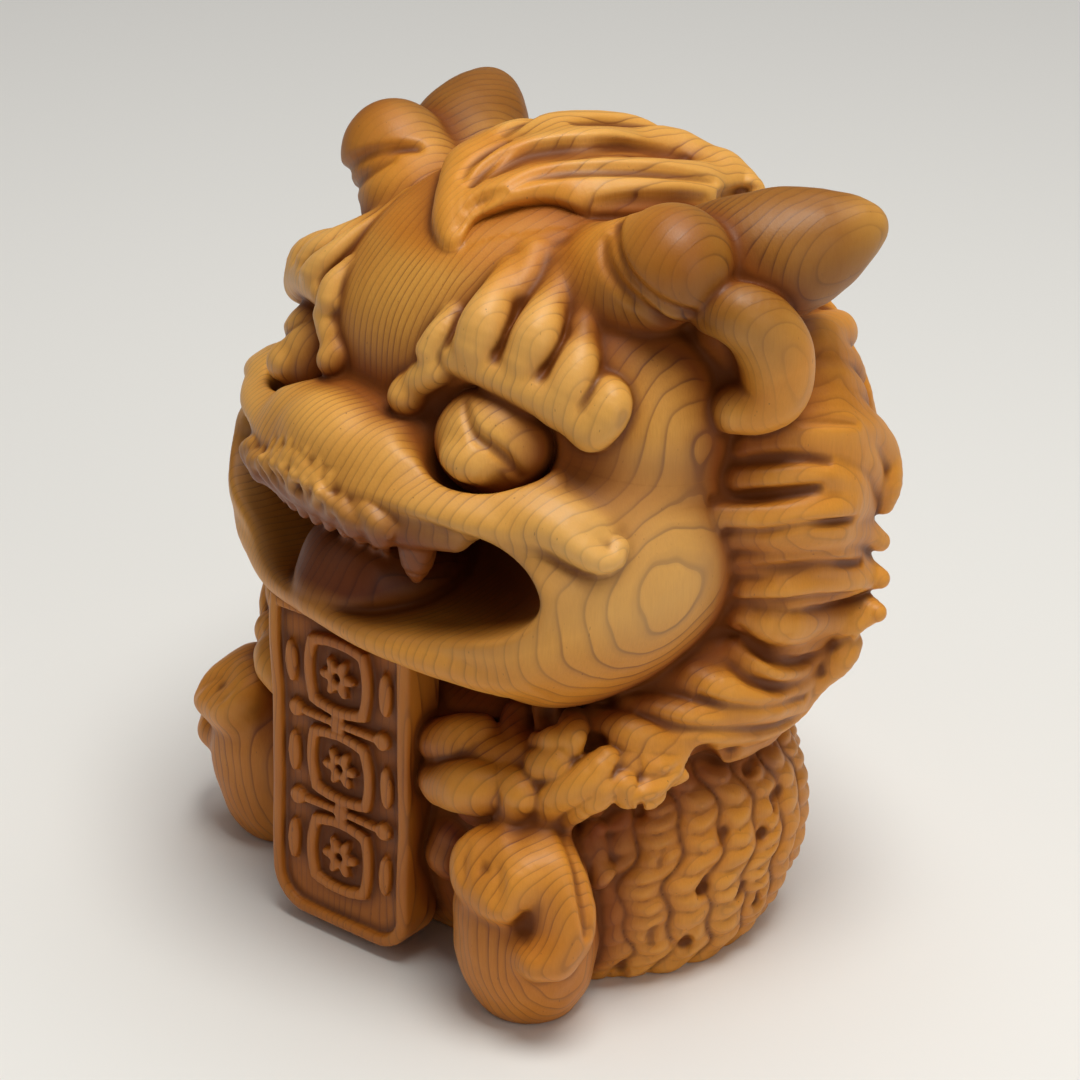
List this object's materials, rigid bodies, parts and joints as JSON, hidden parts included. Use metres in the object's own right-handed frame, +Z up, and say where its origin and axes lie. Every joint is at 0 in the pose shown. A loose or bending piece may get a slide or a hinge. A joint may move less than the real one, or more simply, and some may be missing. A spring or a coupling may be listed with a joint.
{
  "type": "carved wooden guardian lion figure",
  "caption": "Hand-sized wooden figure of a squat horned guardian lion with an open mouth, a curled mane and a plaque held against its chest, standing on a flat base.",
  "frame": {"origin": "centre of the footprint box on the flat face the figure stands on", "axes": "+Z up from the base through the head, the lion faces -Y, +X is the lion's own left side"},
  "size_m": [0.0656, 0.0568, 0.08],
  "materials": {
    "wood": "polished golden brown conifer wood with fine growth rings, satin sheen from hand rubbing and oil, darker in the cut grooves"
  },
  "bodies": {
    "root": {"head": "wood", "lower_jaw": "wood", "tongue": "wood", "upper_lip": "wood", "nose": "wood", "left_canine": "wood", "right_canine": "wood", "left_eye": "wood", "right_eye": "wood", "left_brow": "wood", "right_brow": "wood", "hair_crest": "wood", "left_antler": "wood", "right_antler": "wood", "left_ear": "wood", "right_ear": "wood", "left_cheek": "wood", "right_cheek": "wood", "left_mane": "wood", "right_mane": "wood", "back_mane": "wood", "plaque": "wood", "left_hind_foot": "wood", "right_hind_foot": "wood", "left_front_paw": "wood", "right_front_paw": "wood", "left_haunch": "wood", "right_haunch": "wood", "tail": "wood", "body": "wood"}
  },
  "joints": []
}
